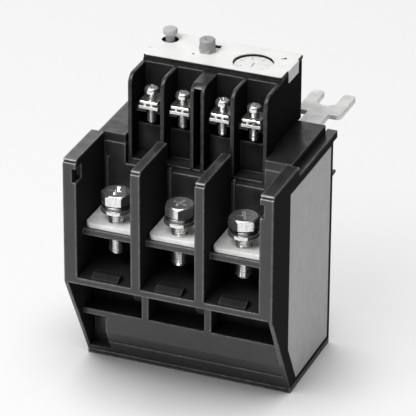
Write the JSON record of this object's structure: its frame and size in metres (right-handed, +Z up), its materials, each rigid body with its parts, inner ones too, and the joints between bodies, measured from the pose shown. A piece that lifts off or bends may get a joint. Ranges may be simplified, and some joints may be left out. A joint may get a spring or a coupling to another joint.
{
  "type": "thermal overload relay",
  "caption": "Three-pole thermal overload relay with open screw cells, control block with reset button, mode knob and current dial, and fork tongues at the rear.",
  "frame": {"origin": "middle of the bounding box at the underside", "axes": "+X across the poles towards the dial side, +Y from the load terminals to the line tongues, +Z up to the setting face"},
  "size_m": [0.08, 0.0908, 0.1194],
  "materials": {
    "case_plastic": "moulded phenolic, satin",
    "cover_plastic": "moulded phenolic, satin",
    "block_plastic": "moulded phenolic, satin",
    "face_plastic": "punched sheet, matt",
    "button_plastic": "moulded, satin",
    "knob_plastic": "moulded, satin",
    "dial_plastic": "moulded, matt",
    "inner_plastic": "moulded, satin",
    "screw_steel": "bright zinc plate",
    "washer_steel": "bright zinc plate",
    "terminal_metal": "tin plate, dull",
    "tongue_metal": "tin plate, dull",
    "heater_metal": "bare strip",
    "bimetal": "bare strip",
    "contact_metal": "bare strip",
    "pin_steel": "bare",
    "fixing_steel": "zinc plate",
    "side_plate_metal": "matt foil",
    "marker_plastic": "moulded, satin"
  },
  "bodies": {
    "case": {"main_case": "case_plastic", "base_cover": "case_plastic", "top_cover": "cover_plastic", "control_housing": "block_plastic", "block_lid": "block_plastic", "face_plate": "face_plastic", "terminal_screws": "screw_steel", "aux_screws": "screw_steel", "terminal_spring_washers": "washer_steel", "terminal_washers": "washer_steel", "aux_washers": "washer_steel", "load_terminal_1": "terminal_metal", "load_terminal_2": "terminal_metal", "load_terminal_3": "terminal_metal", "aux_terminal_1": "terminal_metal", "aux_terminal_2": "terminal_metal", "aux_terminal_3": "terminal_metal", "aux_terminal_4": "terminal_metal", "line_tongue_1": "tongue_metal", "line_tongue_2": "tongue_metal", "line_tongue_3": "tongue_metal", "heater_1": "heater_metal", "heater_2": "heater_metal", "heater_3": "heater_metal", "bimetal_1": "bimetal", "bimetal_2": "bimetal", "bimetal_3": "bimetal", "lever_pin": "pin_steel", "rocker_pin": "pin_steel", "adjuster_pin": "pin_steel", "reset_spring": "pin_steel", "case_screws": "fixing_steel", "block_screws": "fixing_steel", "side_plate": "side_plate_metal", "marker_tags": "marker_plastic"},
    "reset": {"reset_button": "button_plastic"},
    "mode": {"mode_knob": "knob_plastic"},
    "dial": {"setting_dial": "dial_plastic", "setting_cam": "inner_plastic"},
    "adjuster": {"adjusting_arm": "inner_plastic"},
    "push": {"push_slider": "inner_plastic"},
    "pull": {"pull_slider": "inner_plastic"},
    "lever": {"trip_lever": "inner_plastic"},
    "rocker": {"rocker": "inner_plastic", "moving_contact_nc": "contact_metal", "moving_contact_no": "contact_metal"}
  },
  "joints": [
    {"name": "reset_press", "type": "slide", "parent": "case", "child": "reset", "axis": [0, 0, 1], "range_m": [-0.0015, 0], "stiffness_N_per_m": 800, "springref_m": 0.002, "deforming": ["reset_spring"]},
    {"name": "mode_turn", "type": "hinge", "parent": "case", "child": "mode", "pos_m": [-0.0062, 0.00795, 0.1145], "axis": [0, 0, 1], "range_deg": [0, 90]},
    {"name": "dial_turn", "type": "hinge", "parent": "case", "child": "dial", "pos_m": [0.0125, 0.00545, 0.1134], "axis": [0, 0, 1], "range_deg": [-135, 135]},
    {"name": "adjuster_swing", "type": "hinge", "parent": "case", "child": "adjuster", "pos_m": [0.0215, 0.01125, 0.1076], "axis": [0, 0, 1], "range_deg": [-8, 8]},
    {"name": "trip_slide", "type": "slide", "parent": "case", "child": "push", "axis": [1, 0, 0], "range_m": [0, 0.0035], "stiffness_N_per_m": 100, "springref_m": -0.001},
    {"name": "pull_slide", "type": "slide", "parent": "case", "child": "pull", "axis": [1, 0, 0], "range_m": [0, 0.0035]},
    {"name": "lever_turn", "type": "hinge", "parent": "case", "child": "lever", "pos_m": [0.0069, 0.00475, 0.103], "axis": [0, 1, 0], "range_deg": [-6.5, 0]},
    {"name": "rocker_turn", "type": "hinge", "parent": "case", "child": "rocker", "pos_m": [-0.011, 0.00475, 0.103], "axis": [0, 1, 0], "range_deg": [0, 6.2]}
  ],
  "couplings": [
    {"joint": "adjuster_swing", "follows": "dial_turn", "ratio": 0.0566},
    {"joint": "pull_slide", "follows": "trip_slide", "ratio": 1},
    {"joint": "lever_turn", "follows": "trip_slide", "rad_per_m": -31.25},
    {"joint": "rocker_turn", "follows": "trip_slide", "rad_per_m": 29.5}
  ]
}
